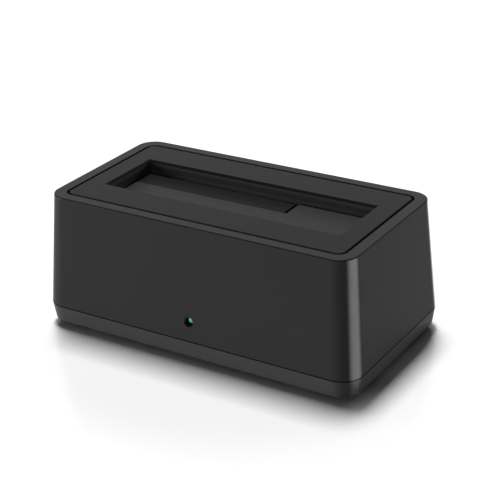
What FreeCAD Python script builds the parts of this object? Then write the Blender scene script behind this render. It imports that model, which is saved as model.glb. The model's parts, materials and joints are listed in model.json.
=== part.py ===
import FreeCAD, Part
import math
import os

Vector = FreeCAD.Vector

# A single-bay drive dock. Millimetres, +Z up, front face towards -Y, +X to the right.
# The origin is on the ground under the middle of the housing.

# The drives that the bay takes, and the room that they get
drive_width = 101.6
drive_thickness = 26.1
small_drive_width = 69.85
small_drive_thickness = 9.5
bay_end_clearance = 0.95
bay_face_clearance = 1.4
small_bay_end_clearance = 0.4
small_bay_face_clearance = 0.9
connector_from_drive_edge = 30.1
connector_from_drive_base = 3.5
drive_edge_rest = 0.6
drive_base_rest = 0.5

# Housing outline
bay_end_land = 15.0
bay_side_land = 20.4
end_flare = 3.25
side_flare = 3.6
base_tuck = 1.1
top_corner = 7.8
widest_corner = 8.8
base_corner = 7.7
rim_rounding = 0.45
base_rounding = 1.2
recess_rounding = 0.25
shell_wall = 2.2
parting_gap = 0.4
lip_clearance = 0.15
lip_thickness = 1.0
lip_height = 1.5

# Heights from the ground up
foot_stand = 1.8
floor_thickness = 2.0
base_side_height = 7.5
standoff_height = 5.2
board_thickness = 1.6
under_well_room = 2.8
well_floor = 1.6
guide_step_height = 3.6
door_end_gap = 0.65
door_drop = 5.5
deck_thickness = 2.0
plate_thickness = 2.0

# Top plate
plate_end_border = 4.825
plate_side_border = 4.525
plate_gap = 1.0
plate_corner = 2.8
plate_edge_rounding = 0.2
bay_chamfer = 0.9
peg_radius = 1.2
peg_clearance = 0.15
peg_length = 3.0
peg_from_bay_end = 4.65
peg_from_bay_side = 7.5

# Drive well
well_wall = 1.6
recess_clearance = 0.6
well_lug_drop = 9.0
well_lug_thickness = 2.0
well_lug_reach = 6.9
well_lug_width = 6.4
well_screw_out = 3.95
well_screw_spacing = 18.0
well_boss_radius = 2.8

# Doors
door_thickness = 1.6
door_side_gap = 0.4
door_axis_out = 1.5
door_free_gap = 0.45
door_barrel_radius = 1.6
door_pin_radius = 0.75
pin_clearance = 0.05
door_edge_rounding = 0.3
narrow_back_gap = 1.0
thin_line_gap = 0.25
divider_gap = 1.2
narrow_pin_drop = 1.5
narrow_pin_radius = 0.6
narrow_knuckle_radius = 1.3
open_door_clearance = 0.15
strip_undercut = 0.5
narrow_hinge_spread = 24.0
narrow_arm_width = 6.0
narrow_arm_root = 3.4
narrow_arm_depth = 1.2
back_recess_headroom = 0.4
hinge_gap = 0.3

# Door springs
spring_wire_radius = 0.3
spring_leg_radius = 0.24
wide_spring_length = 7.0
narrow_spring_length = 8.0
spring_bore_clearance = 0.1
spring_leg_length = 3.5

# Screws
housing_screw_inset = 6.3
housing_screw_radius = 1.4
housing_screw_length = 12.0
housing_head_radius = 2.75
housing_head_height = 1.9
housing_boss_radius = 3.2
housing_pillar_radius = 4.0
housing_head_seat = 2.8
small_screw_radius = 1.0
small_screw_length = 7.0
small_head_radius = 1.9
small_head_height = 1.3
thread_clearance = 0.05
shank_clearance = 0.2
head_clearance = 0.25
blind_hole_spare = 1.0
recess_cross_width = 0.6
recess_cross_length = 2.2
recess_cross_depth = 0.9

# Feet and the bare label recess underneath
foot_radius = 5.0
foot_recess = 0.6
foot_from_screw = 12.5
foot_rounding = 0.5
label_length = 56.0
label_width = 24.0
label_depth = 0.3

# Circuit board
board_side_clearance = 1.2
board_end_clearance = 2.0
board_corner = 2.0
board_screw_inset = 4.0
standoff_radius = 2.9
pin_hole_clearance = 0.1
pin_below_board = 0.8

# Drive connector
connector_length = 41.4
connector_width = 6.6
connector_insert = 5.4
connector_rounding = 0.6
connector_slot_clearance = 0.5
contact_slot_width = 1.5
contact_slot_depth = 6.0
contact_pitch = 1.27
contact_width = 0.8
contact_thickness = 0.2
contact_rise = 0.6
signal_contacts = 7
power_contacts = 15
segment_gap = 5.08
slot_end_room = 1.3
key_length = 1.2
key_depth = 1.6
peg_pin_radius = 0.5

# Rear sockets and switch
rear_face_inset = 0.7
slot_margin = 0.3
tab_gap = 0.2
pin_from_rear = 2.0
usb_from_dc = 23.0
usb_half_width = 4.225
usb_shoulder_height = 5.9
usb_step_height = 7.2
usb_neck_half_width = 2.9
usb_height = 10.2
usb_skin = 0.4
usb_length = 17.5
usb_cavity_depth = 8.8
usb_tongue_half_width = 2.8
usb_tongue_low = 2.2
usb_tongue_high = 5.3
usb_upper_tongue_low = 8.3
usb_upper_tongue_thickness = 1.0
usb_upper_tongue_half_width = 2.3
usb_tongue_set_back = 1.2
usb_contact_width = 0.7
usb_contact_thickness = 0.15
usb_contact_length = 6.0
usb_main_pitch = 2.5
usb_upper_pitch = 0.9
usb_upper_contacts = 5
usb_upper_contact_width = 0.45
dc_from_board_end = 16.45
dc_pin_spread = 4.5
dc_width = 9.0
dc_height = 11.0
dc_length = 14.0
dc_bore_radius = 3.2
dc_bore_depth = 10.0
dc_pin_radius = 1.05
dc_pin_set_back = 0.8
dc_axis_height = 6.3
dc_rounding = 0.6
terminal_radius = 0.45

# Rocker switch
switch_from_board_end = 30.45
switch_pin_spread = 5.8
switch_set_back = 0.9
rocker_half_length = 5.8
rocker_width = 7.4
rocker_shoulder = 1.0
rocker_lip = 2.3
rocker_dip = 1.3
rocker_foot_half_length = 4.5
rocker_foot_depth = 2.0
rocker_tilt = 10.0
rocker_side_clearance = 0.25
rocker_end_clearance = 0.5
rocker_floor_clearance = 0.35
rocker_pivot_depth = 1.6
rocker_axle_radius = 0.8
rocker_axle_length = 0.6
switch_wall = 0.9
switch_depth = 9.4

# Status light
led_height = 17.4
led_radius = 1.5
led_length = 6.3
led_flange_radius = 1.9
led_flange_thickness = 1.0
led_hole_radius = 1.85
led_hole_chamfer = 0.2
led_set_back = 1.2
led_lead_radius = 0.25
led_lead_pitch = 2.54
led_lead_run = 1.2
led_holder_width = 5.0
led_holder_depth = 1.7
led_holder_over = 0.6
led_holder_gap = 0.3

# Board parts
chip_size = 10.0
chip_height = 1.2
chip_lead_count = 12
chip_lead_pitch = 0.7
chip_lead_width = 0.3
chip_lead_reach = 1.0
chip_lead_thickness = 0.2
chip_x = 14.0
chip_y = -6.0
memory_length = 5.0
memory_width = 4.0
memory_height = 1.5
memory_from_board_end = 24.45
memory_y = -8.0
crystal_length = 11.4
crystal_width = 4.6
crystal_corner = 2.19
crystal_height = 3.5
crystal_x = -6.0
crystal_from_edge = 6.5
component_corner = 1.0
coil_size = 7.0
coil_height = 3.2
coil_core_radius = 2.6
coil_core_rise = 0.3
coil_from_edge = 8.0
coil_from_board_end = 15.45
coil_spacing = 11.0
capacitor_radius = 3.15
capacitor_height = 7.7
capacitor_from_edge = 5.6
capacitor_from_board_end = 14.45
capacitor_spacing = 9.0
capacitor_count = 3
capacitor_base = 6.8
capacitor_base_height = 0.8
capacitor_rounding = 0.5
regulator_length = 6.5
regulator_width = 3.5
regulator_height = 1.6
regulator_tab = 1.6
regulator_tab_height = 0.3
regulator_from_coil = 14.0
regulator_from_edge = 8.0
small_part_length = 2.0
small_part_width = 1.25
small_part_height = 0.8
small_part_columns = 6
small_part_rows = 2
small_part_pitch = 4.0
small_part_x = -4.0
small_part_y = -18.0

# How far a cut runs past the face it opens, how deep a joined form is rooted in its carrier,
# and how far from level an edge may be
cut_over = 1.0
root_depth = 1.0
level_tolerance = 0.001

# Sizes that follow from those above
bay_length = drive_width + 2 * bay_end_clearance
bay_width = drive_thickness + 2 * bay_face_clearance
small_bay_length = small_drive_width + small_bay_end_clearance
small_bay_width = small_drive_thickness + small_bay_face_clearance
top_length = bay_length + 2 * bay_end_land
top_width = bay_width + 2 * bay_side_land

floor_low = foot_stand
floor_high = floor_low + floor_thickness
seam_height = floor_low + base_side_height
board_low = floor_high + standoff_height
board_high = board_low + board_thickness
well_low = board_high + under_well_room
well_floor_high = well_low + well_floor
step_high = well_floor_high + guide_step_height
door_reach = bay_width - door_free_gap + door_axis_out
door_axis_z = step_high + door_end_gap + door_reach
door_low = door_axis_z - door_thickness / 2
door_high = door_axis_z + door_thickness / 2
top_height = door_high + door_drop
plate_low = top_height - plate_thickness
deck_low = plate_low - deck_thickness
seam_low = seam_height - parting_gap / 2
seam_high = seam_height + parting_gap / 2
base_wall = shell_wall + lip_clearance + lip_thickness

door_axis_y = -bay_width / 2 - door_axis_out
small_bay_front = bay_width / 2 - small_bay_width
narrow_axis_z = door_low - narrow_pin_drop
narrow_axis_y = bay_width / 2 + open_door_clearance + door_thickness + narrow_pin_drop
narrow_reach = narrow_axis_y - small_bay_front - thin_line_gap / 2
back_recess_low = narrow_axis_z - narrow_reach - door_end_gap
back_recess_high = narrow_axis_z + narrow_knuckle_radius + back_recess_headroom
back_recess_y = narrow_axis_y + narrow_knuckle_radius + recess_clearance
narrow_left = -bay_length / 2 + door_side_gap
divider_x = -bay_length / 2 + small_bay_length
narrow_right = divider_x - divider_gap / 2
narrow_middle = (narrow_left + narrow_right) / 2
well_front = door_axis_y - door_barrel_radius - recess_clearance

plate_length = top_length - 2 * (plate_end_border + plate_gap)
plate_width = top_width - 2 * (plate_side_border + plate_gap)

housing_screw_x = top_length / 2 - housing_screw_inset
housing_screw_y = top_width / 2 - housing_screw_inset
foot_x = housing_screw_x - foot_from_screw
foot_y = housing_screw_y

connector_x = -bay_length / 2 + drive_edge_rest + connector_from_drive_edge
connector_y = bay_width / 2 - drive_base_rest - connector_from_drive_base
connector_high = well_floor_high + connector_insert

board_length = 2 * (housing_screw_x - housing_pillar_radius - board_end_clearance)
dc_x = board_length / 2 - dc_from_board_end
usb_x = dc_x - usb_from_dc
switch_x = -board_length / 2 + switch_from_board_end
memory_x = board_length / 2 - memory_from_board_end
coil_first_x = board_length / 2 - coil_from_board_end - coil_spacing
capacitor_first_x = -board_length / 2 + capacitor_from_board_end
regulator_x = coil_first_x - regulator_from_coil


def outline(height, inset=0.0):
    """Length, width and corner radius of the housing at one height, drawn in by inset."""
    if height >= seam_height:
        share = (height - seam_height) / (top_height - seam_height)
        draw_end = end_flare * share
        draw_side = side_flare * share
        corner = widest_corner + (top_corner - widest_corner) * share
    else:
        share = (seam_height - height) / (seam_height - floor_low)
        draw_end = base_tuck * share
        draw_side = base_tuck * share
        corner = widest_corner + (base_corner - widest_corner) * share
    length = top_length + 2 * (end_flare - draw_end - inset)
    width = top_width + 2 * (side_flare - draw_side - inset)
    return length, width, max(corner - inset, shell_wall / 2)


def rounded_rectangle(length, width, radius, height):
    """Closed wire round the Z axis: four straight sides and four quarter arcs."""
    half_x = length / 2
    half_y = width / 2
    slant = radius * (1 - math.sqrt(0.5))
    edges = []
    for turn in range(4):
        x_sign = (1, -1, -1, 1)[turn]
        y_sign = (1, 1, -1, -1)[turn]
        start = Vector(x_sign * half_x, y_sign * (half_y - radius), height)
        middle = Vector(x_sign * (half_x - slant), y_sign * (half_y - slant), height)
        end = Vector(x_sign * (half_x - radius), y_sign * half_y, height)
        if turn % 2:
            start, end = end, start
        if edges:
            edges.append(Part.LineSegment(previous, start).toShape())
        else:
            first = start
        edges.append(Part.Arc(start, middle, end).toShape())
        previous = end
    edges.append(Part.LineSegment(previous, first).toShape())
    return Part.Wire(edges)


def rounded_block(length, width, radius, low, high, x=0.0, y=0.0):
    """Upright prism on a rounded rectangle whose middle is at x, y."""
    face = Part.Face(rounded_rectangle(length, width, radius, low))
    block = face.extrude(Vector(0, 0, high - low))
    block.translate(Vector(x, y, 0))
    return block


def block(x_low, x_high, y_low, y_high, z_low, z_high):
    """Box between two corners."""
    corner = Vector(x_low, y_low, z_low)
    return Part.makeBox(x_high - x_low, y_high - y_low, z_high - z_low, corner)


def rod_x(radius, y, z, start, end):
    """Cylinder along X."""
    return Part.makeCylinder(radius, end - start, Vector(start, y, z), Vector(1, 0, 0))


def rod_y(radius, x, z, start, end):
    """Cylinder along Y."""
    return Part.makeCylinder(radius, end - start, Vector(x, start, z), Vector(0, 1, 0))


def rod_z(radius, x, y, start, end):
    """Cylinder along Z."""
    return Part.makeCylinder(radius, end - start, Vector(x, y, start), Vector(0, 0, 1))


def join(pieces):
    """One solid out of touching ones."""
    whole = pieces[0]
    if len(pieces) > 1:
        whole = whole.fuse(pieces[1:])
    return whole.removeSplitter()


def corners(x, y):
    """The four places that mirror x, y over both middle planes."""
    return [(x, y), (-x, y), (-x, -y), (x, -y)]


def level_edges(shape, height):
    """Edges of a shape that lie flat at one height."""
    found = []
    for edge in shape.Edges:
        limits = edge.BoundBox
        below = abs(limits.ZMin - height)
        above = abs(limits.ZMax - height)
        if below < level_tolerance and above < level_tolerance:
            found.append(edge)
    return found


def housing_solid():
    """The whole outer form of the housing, floor to rim, as one solid."""
    levels = [floor_low, seam_height, top_height]
    wires = [rounded_rectangle(*outline(level), level) for level in levels]
    form = Part.makeLoft(wires, True, True)
    form = form.makeFillet(rim_rounding, level_edges(form, top_height))
    return form.makeFillet(base_rounding, level_edges(form, floor_low))


def housing_core(inset, low, high):
    """The housing's form drawn in by inset, between two heights."""
    levels = [low, high]
    if low < seam_height < high:
        levels = [low, seam_height, high]
    wires = [rounded_rectangle(*outline(level, inset), level) for level in levels]
    return Part.makeLoft(wires, True, True)


def slab(low, high):
    """A slab wider than the housing between two heights."""
    half_x = top_length
    half_y = top_width
    return block(-half_x, half_x, -half_y, half_y, low, high)


def face_y(height):
    """How far the outer front and rear faces stand from the middle at one height."""
    return outline(height)[1] / 2


# Rear openings: middle, half width, and height of the top of each socket
switch_half_length = (rocker_half_length + rocker_end_clearance) + switch_wall
switch_height = rocker_width + 2 * (rocker_side_clearance + switch_wall)
rear_openings = [
    (usb_x, usb_half_width + usb_skin, board_high + usb_height + 2 * usb_skin),
    (dc_x, dc_width / 2, board_high + dc_height),
    (switch_x, switch_half_length, board_high + switch_height),
]
rear_y = face_y(board_high + dc_axis_height) - rear_face_inset


def make_upper_shell(form):
    """Tapered hood with its rim, the deck under the top plate, bosses and openings."""
    shell = form.common(slab(seam_high, top_height + cut_over))
    shell = shell.cut(housing_core(shell_wall, seam_low - cut_over, deck_low))
    recess_length = plate_length + 2 * plate_gap
    recess_width = plate_width + 2 * plate_gap
    recess_corner = plate_corner + plate_gap
    shell = shell.cut(rounded_block(recess_length, recess_width, recess_corner,
                                    plate_low, top_height + cut_over))
    recess_edges = [edge for edge in level_edges(shell, top_height)
                    if abs(edge.CenterOfMass.x) <= recess_length / 2 + level_tolerance
                    and abs(edge.CenterOfMass.y) <= recess_width / 2 + level_tolerance]
    shell = shell.makeFillet(recess_rounding, recess_edges)
    cuts = [block(-bay_length / 2, bay_length / 2, -bay_width / 2, bay_width / 2,
                  deck_low - cut_over, top_height)]
    for x, y in corners(bay_length / 2 + peg_from_bay_end, bay_width / 2 + peg_from_bay_side):
        cuts.append(rod_z(peg_radius + peg_clearance, x, y, deck_low - cut_over, top_height))
    for middle, half, high in rear_openings:
        cuts.append(block(middle - half - slot_margin, middle + half + slot_margin,
                          0, top_width, seam_low - cut_over, high + slot_margin))
    outer = -face_y(led_height)
    hole_end = outer + 2 * shell_wall
    cuts.append(rod_y(led_hole_radius, 0, led_height, outer - cut_over, hole_end))
    cone_wide = led_hole_radius + led_hole_chamfer + cut_over
    cuts.append(Part.makeCone(cone_wide, led_hole_radius - led_hole_chamfer,
                              cut_over + 2 * led_hole_chamfer,
                              Vector(0, outer - cut_over, led_height), Vector(0, 1, 0)))
    shell = shell.cut(cuts)
    bosses = []
    bores = []
    for x, y in corners(housing_screw_x, housing_screw_y):
        bosses.append(rod_z(housing_boss_radius, x, y, seam_high, deck_low))
        bore_high = floor_low + housing_head_seat + housing_screw_length + blind_hole_spare
        bores.append(rod_z(housing_screw_radius + thread_clearance, x, y,
                           seam_high - cut_over, bore_high))
    boss_x = bay_length / 2 + well_wall + well_screw_out
    lug_high = deck_low - well_lug_drop
    for x, y in corners(boss_x, well_screw_spacing / 2):
        bosses.append(rod_z(well_boss_radius, x, y, lug_high, deck_low))
        bore_high = lug_high - well_lug_thickness + small_screw_length + blind_hole_spare
        bores.append(rod_z(small_screw_radius + thread_clearance, x, y,
                           lug_high - cut_over, bore_high))
    return join([shell] + bosses).cut(bores)


def make_base_tray(form):
    """Lower tray: floor, side wall with its lip, pillars, standoffs and rear tabs."""
    tray = form.common(slab(0, seam_low))
    tray = tray.cut(housing_core(base_wall, floor_high, seam_height + cut_over))
    lip_low = seam_low - lip_height
    lip_high = seam_height + lip_height
    lip = housing_core(shell_wall + lip_clearance, lip_low, lip_high)
    lip = lip.cut(housing_core(base_wall, lip_low, lip_high))
    ring = form.cut(housing_core(shell_wall, floor_high, deck_low))
    cuts = []
    tabs = []
    for middle, half, high in rear_openings:
        reach = half + slot_margin + lip_thickness
        cuts.append(block(middle - reach, middle + reach, 0, top_width, seam_low, lip_high + cut_over))
        tab = block(middle - half, middle + half, 0, top_width, lip_low, board_high - tab_gap)
        tabs.append(ring.common(tab))
    lip = lip.cut(cuts)
    added = [tray, lip] + tabs
    for x, y in corners(housing_screw_x, housing_screw_y):
        added.append(rod_z(housing_pillar_radius, x, y, floor_low + root_depth, seam_low))
        added.append(rod_z(housing_boss_radius, x, y, floor_low + root_depth, seam_high))
    for x, y in board_screw_places():
        added.append(rod_z(standoff_radius, x, y, floor_low + root_depth, board_low))
    tray = join(added)
    drills = []
    for x, y in corners(housing_screw_x, housing_screw_y):
        seat = floor_low + housing_head_seat
        drills.append(rod_z(housing_head_radius + head_clearance, x, y, floor_low - cut_over, seat))
        drills.append(rod_z(housing_screw_radius + shank_clearance, x, y, seat - cut_over,
                            seam_high + cut_over))
    for x, y in corners(foot_x, foot_y):
        drills.append(rod_z(foot_radius, x, y, floor_low - cut_over, floor_low + foot_recess))
    for x, y in board_screw_places():
        bore_low = board_high - small_screw_length - blind_hole_spare / 2
        drills.append(rod_z(small_screw_radius + thread_clearance, x, y,
                            bore_low, board_low + cut_over))
    drills.append(rounded_block(label_length, label_width, board_corner,
                                floor_low - cut_over, floor_low + label_depth))
    return tray.cut(drills)


def make_top_plate():
    """Inset plate round the bay, chamfered at the bay, with four pegs into the deck."""
    plate = rounded_block(plate_length, plate_width, plate_corner, plate_low, top_height)
    plate = plate.makeFillet(plate_edge_rounding, level_edges(plate, top_height))
    half_x = bay_length / 2
    half_y = bay_width / 2
    bay = block(-half_x, half_x, -half_y, half_y, plate_low - cut_over, top_height + cut_over)
    low = []
    high = []
    for x_sign, y_sign in ((-1, -1), (1, -1), (1, 1), (-1, 1), (-1, -1)):
        low.append(Vector(x_sign * half_x, y_sign * half_y, top_height - bay_chamfer))
        high.append(Vector(x_sign * (half_x + bay_chamfer), y_sign * (half_y + bay_chamfer),
                           top_height))
    mouth = Part.makeLoft([Part.makePolygon(low), Part.makePolygon(high)], True, True)
    plate = plate.cut([bay, mouth])
    pegs = []
    for x, y in corners(half_x + peg_from_bay_end, half_y + peg_from_bay_side):
        pegs.append(rod_z(peg_radius, x, y, plate_low - peg_length, plate_low + root_depth))
    return join([plate] + pegs)


def make_drive_well():
    """Deep box that guides the drive, with room for the open doors in front and behind."""
    half_x = bay_length / 2
    outer = block(-half_x - well_wall, half_x + well_wall, well_front - well_wall,
                  bay_width / 2 + well_wall, well_low, deck_low)
    inner = block(-half_x, half_x, well_front, bay_width / 2, well_floor_high, deck_low + cut_over)
    bulge = block(-half_x - well_wall, divider_x + well_wall, bay_width / 2,
                  back_recess_y + well_wall, back_recess_low - well_wall,
                  back_recess_high + well_wall)
    pocket = block(-half_x, divider_x, 0, back_recess_y, back_recess_low, back_recess_high)
    well = outer.fuse(bulge).cut([inner, pocket])
    step = block(-half_x, half_x, well_front, -bay_width / 2, well_floor_high, step_high)
    lug_high = deck_low - well_lug_drop
    lugs = []
    drills = []
    for x, y in corners(half_x + well_wall + well_screw_out, well_screw_spacing / 2):
        end = math.copysign(half_x + well_wall + well_lug_reach, x)
        root = math.copysign(half_x + well_wall / 2, x)
        lugs.append(block(min(root, end), max(root, end), y - well_lug_width / 2,
                          y + well_lug_width / 2, lug_high - well_lug_thickness, lug_high))
        drills.append(rod_z(small_screw_radius + shank_clearance, x, y, 0, lug_high + cut_over))
    well = join([well, step] + lugs)
    reach_x = connector_length / 2 + connector_slot_clearance
    reach_y = connector_width / 2 + connector_slot_clearance
    drills.append(block(connector_x - reach_x, connector_x + reach_x, connector_y - reach_y,
                        connector_y + reach_y, well_low - cut_over, well_floor_high + cut_over))
    drills.append(rod_x(door_pin_radius + pin_clearance, door_axis_y, door_axis_z,
                        -half_x - well_wall - cut_over, half_x + well_wall + cut_over))
    drills.append(rod_x(narrow_pin_radius + pin_clearance, narrow_axis_y, narrow_axis_z,
                        -half_x - well_wall - cut_over, divider_x + well_wall + cut_over))
    return well.cut(drills)


def hinge_station_middles():
    """Where the narrow door's two arms sit along its pin."""
    return [narrow_middle - narrow_hinge_spread, narrow_middle + narrow_hinge_spread]


def make_wide_door():
    """L-shaped flap on its barrel: front strip and right-hand part in one."""
    left = -bay_length / 2 + door_side_gap
    right = bay_length / 2 - door_side_gap
    strip_back = small_bay_front - thin_line_gap / 2
    profile = [
        Vector(left, door_axis_y, door_low),
        Vector(left, strip_back - strip_undercut, door_low),
        Vector(left, strip_back, door_high),
        Vector(left, door_axis_y, door_high),
        Vector(left, door_axis_y, door_low),
    ]
    strip = Part.Face(Part.makePolygon(profile)).extrude(Vector(right - left, 0, 0))
    side = block(divider_x + divider_gap / 2, right, door_axis_y,
                 bay_width / 2 - door_free_gap, door_low, door_high)
    flap = join([strip, side])
    flap = flap.makeFillet(door_edge_rounding, [
        edge for edge in level_edges(flap, door_high)
        if edge.BoundBox.YMin > strip_back + door_thickness])
    spring_room = wide_spring_length + 2 * hinge_gap
    barrel = rod_x(door_barrel_radius, door_axis_y, door_axis_z, left + spring_room, right)
    flap = join([flap, barrel])
    notch = block(left - cut_over, left + spring_room, door_axis_y - cut_over,
                  door_axis_y + door_barrel_radius + hinge_gap, door_low - cut_over, door_high + cut_over)
    bore = rod_x(door_pin_radius + pin_clearance, door_axis_y, door_axis_z,
                 left - cut_over, right + cut_over)
    return flap.cut([notch, bore])


def make_narrow_door():
    """Slim flap over the small bay, on two cranked arms that reach back to its pin."""
    front = small_bay_front + thin_line_gap / 2
    back = bay_width / 2 - narrow_back_gap
    flap = block(narrow_left, narrow_right, front, back, door_low, door_high)
    flap = flap.makeFillet(door_edge_rounding, level_edges(flap, door_high))
    inside = door_low + door_thickness / 2
    top = narrow_axis_z + narrow_knuckle_radius
    bottom = narrow_axis_z - narrow_knuckle_radius
    arms = []
    bores = []
    for middle in hinge_station_middles():
        start = middle - narrow_arm_width / 2
        arms.append(rod_x(narrow_knuckle_radius, narrow_axis_y, narrow_axis_z,
                          start, start + narrow_arm_width))
        profile = [
            Vector(start, narrow_axis_y, top),
            Vector(start, back - door_edge_rounding, top),
            Vector(start, back - door_edge_rounding, inside),
            Vector(start, back - narrow_arm_root, inside),
            Vector(start, back - narrow_arm_root, door_low - narrow_arm_depth),
            Vector(start, narrow_axis_y, bottom),
            Vector(start, narrow_axis_y, top),
        ]
        face = Part.Face(Part.makePolygon(profile))
        arms.append(face.extrude(Vector(narrow_arm_width, 0, 0)))
        bores.append(rod_x(narrow_pin_radius + pin_clearance, narrow_axis_y, narrow_axis_z,
                           start - cut_over, start + narrow_arm_width + cut_over))
    return join([flap] + arms).cut(bores)


def make_wide_door_pin():
    """Steel pin through both ends of the well."""
    reach = bay_length / 2 + well_wall
    return rod_x(door_pin_radius, door_axis_y, door_axis_z, -reach, reach)


def make_narrow_door_pin():
    """Steel pin through the ends of the recess behind the bay."""
    return rod_x(narrow_pin_radius, narrow_axis_y, narrow_axis_z,
                 -bay_length / 2 - well_wall, divider_x + well_wall)


def torsion_spring(bore_radius, y, z, start, length, legs):
    """Closely wound coil with one leg at each end, each leg towards its own direction."""
    outer = bore_radius + 2 * spring_wire_radius
    coil = rod_x(outer, y, z, start, start + length)
    coil = coil.cut(rod_x(bore_radius, y, z, start - cut_over, start + length + cut_over))
    pieces = [coil]
    middle_radius = bore_radius + spring_wire_radius
    places = (start + spring_wire_radius, start + length - spring_wire_radius)
    for place, (side, direction) in zip(places, legs):
        root = Vector(place, y + side.y * middle_radius, z + side.z * middle_radius)
        pieces.append(Part.makeCylinder(spring_leg_radius, spring_leg_length, root, direction))
    return join(pieces)


def make_wide_door_spring():
    """Spring on the wide door's pin: one leg down the recess, one under the flap."""
    start = -bay_length / 2 + door_side_gap + hinge_gap
    bore = door_pin_radius + spring_bore_clearance
    legs = ((Vector(0, 1, 0), Vector(0, 0, -1)), (Vector(0, 0, -1), Vector(0, 1, 0)))
    return torsion_spring(bore, door_axis_y, door_axis_z, start, wide_spring_length, legs)


def make_narrow_door_spring():
    """Spring on the narrow door's pin: one leg down the recess, one under the flap."""
    start = narrow_middle - narrow_spring_length / 2
    bore = narrow_pin_radius + spring_bore_clearance
    legs = ((Vector(0, 1, 0), Vector(0, 0, -1)), (Vector(0, 0, 1), Vector(0, -1, 0)))
    return torsion_spring(bore, narrow_axis_y, narrow_axis_z, start, narrow_spring_length, legs)


# Circuit board's width and the light's place
board_width = outline(board_low, base_wall + board_side_clearance)[1]
board_front = -board_width / 2
led_tip = -face_y(led_height) + led_set_back
led_back = led_tip + led_length


def board_screw_places():
    """The board's four screws."""
    return corners(board_length / 2 - board_screw_inset, board_width / 2 - board_screw_inset)


def usb_pin_places():
    """Two shell pins of the square socket."""
    y = rear_y - usb_length + pin_from_rear
    return [(usb_x - usb_half_width, y), (usb_x + usb_half_width, y)]


def dc_pin_places():
    """Two terminals of the power inlet."""
    y = rear_y - dc_length + pin_from_rear
    return [(dc_x - dc_pin_spread / 2, y), (dc_x + dc_pin_spread / 2, y)]


def switch_pin_places():
    """Two terminals of the rocker switch."""
    y = rear_y - switch_set_back - switch_depth + pin_from_rear
    return [(switch_x - switch_pin_spread / 2, y), (switch_x + switch_pin_spread / 2, y)]


def led_pin_places():
    """Two leads of the status light."""
    return [(-led_lead_pitch / 2, led_back + led_lead_run),
            (led_lead_pitch / 2, led_back + led_lead_run)]


def connector_peg_places():
    """Two locating pegs of the drive connector."""
    reach = connector_length / 2 - slot_end_room
    return [(connector_x - reach, connector_y), (connector_x + reach, connector_y)]


def make_main_board():
    """Flat board with rounded corners, four screw holes and the plated pin holes."""
    board = rounded_block(board_length, board_width, board_corner, board_low, board_high)
    holes = []
    for x, y in board_screw_places():
        holes.append(rod_z(small_screw_radius + shank_clearance, x, y, 0, top_height))
    for x, y in usb_pin_places() + dc_pin_places() + switch_pin_places():
        holes.append(rod_z(terminal_radius + pin_hole_clearance, x, y, 0, top_height))
    for x, y in led_pin_places():
        holes.append(rod_z(led_lead_radius + pin_hole_clearance, x, y, 0, top_height))
    for x, y in connector_peg_places():
        holes.append(rod_z(peg_pin_radius + pin_hole_clearance, x, y, 0, top_height))
    return board.cut(holes)


def contact_rows():
    """Start and count of the signal row and the power row along X."""
    signal_span = (signal_contacts - 1) * contact_pitch
    power_span = (power_contacts - 1) * contact_pitch
    whole = signal_span + segment_gap + power_span
    start = connector_x - whole / 2
    return [(start, signal_contacts), (start + signal_span + segment_gap, power_contacts)]


def make_sata_connector():
    """Upright socket block with a short and a long slot, each with its key, and two pegs."""
    body = rounded_block(connector_length, connector_width, connector_rounding,
                         board_high, connector_high, connector_x, connector_y)
    body = body.makeFillet(connector_rounding / 2, level_edges(body, connector_high))
    cuts = []
    for start, count in contact_rows():
        end = start + (count - 1) * contact_pitch + slot_end_room
        low = connector_high - contact_slot_depth
        cuts.append(block(start - slot_end_room, end, connector_y - contact_slot_width / 2,
                          connector_y + contact_slot_width / 2, low, connector_high + cut_over))
        key = start - slot_end_room if count == power_contacts else end - key_length
        cuts.append(block(key, key + key_length, connector_y - key_depth, connector_y,
                          low, connector_high + cut_over))
    pegs = []
    for x, y in connector_peg_places():
        pegs.append(rod_z(peg_pin_radius, x, y, board_low - pin_below_board, board_high + root_depth))
    return join([body.cut(cuts)] + pegs)


def make_sata_contacts():
    """Gilt leaf contacts on the rear wall of each slot."""
    strips = []
    rear = connector_y + contact_slot_width / 2
    low = connector_high - contact_slot_depth
    for start, count in contact_rows():
        for index in range(count):
            middle = start + index * contact_pitch
            strips.append(block(middle - contact_width / 2, middle + contact_width / 2,
                                rear - contact_thickness, rear, low,
                                connector_high - contact_rise))
    return Part.makeCompound(strips)


def usb_profile(grow=0.0):
    """Outline of the square socket's opening in XZ, its lower part wider than its neck."""
    base = board_high + usb_skin
    slant = grow * math.tan(math.pi / 8)
    points = [
        (usb_half_width + grow, -grow),
        (usb_half_width + grow, usb_shoulder_height + slant),
        (usb_neck_half_width + grow, usb_step_height + slant),
        (usb_neck_half_width + grow, usb_height + grow),
    ]
    mirrored = [(-x, z) for x, z in reversed(points)]
    loop = points + mirrored + points[:1]
    return [Vector(usb_x + x, 0, base + z) for x, z in loop]


def usb_prism(grow, start, end):
    """The socket's outline carried along Y."""
    face = Part.Face(Part.makePolygon(usb_profile(grow)))
    prism = face.extrude(Vector(0, end - start, 0))
    prism.translate(Vector(0, start, 0))
    return prism


def make_usb_socket_shell():
    """Thin metal sleeve of the square socket, closed at its back, with two pins."""
    start = rear_y - usb_length
    sleeve = usb_prism(usb_skin, start, rear_y)
    sleeve = sleeve.cut(usb_prism(0, start + usb_skin, rear_y + cut_over))
    pins = []
    for x, y in usb_pin_places():
        pins.append(rod_z(terminal_radius, x, y, board_low - pin_below_board,
                          board_high + usb_skin / 2))
    return join([sleeve] + pins)


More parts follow.
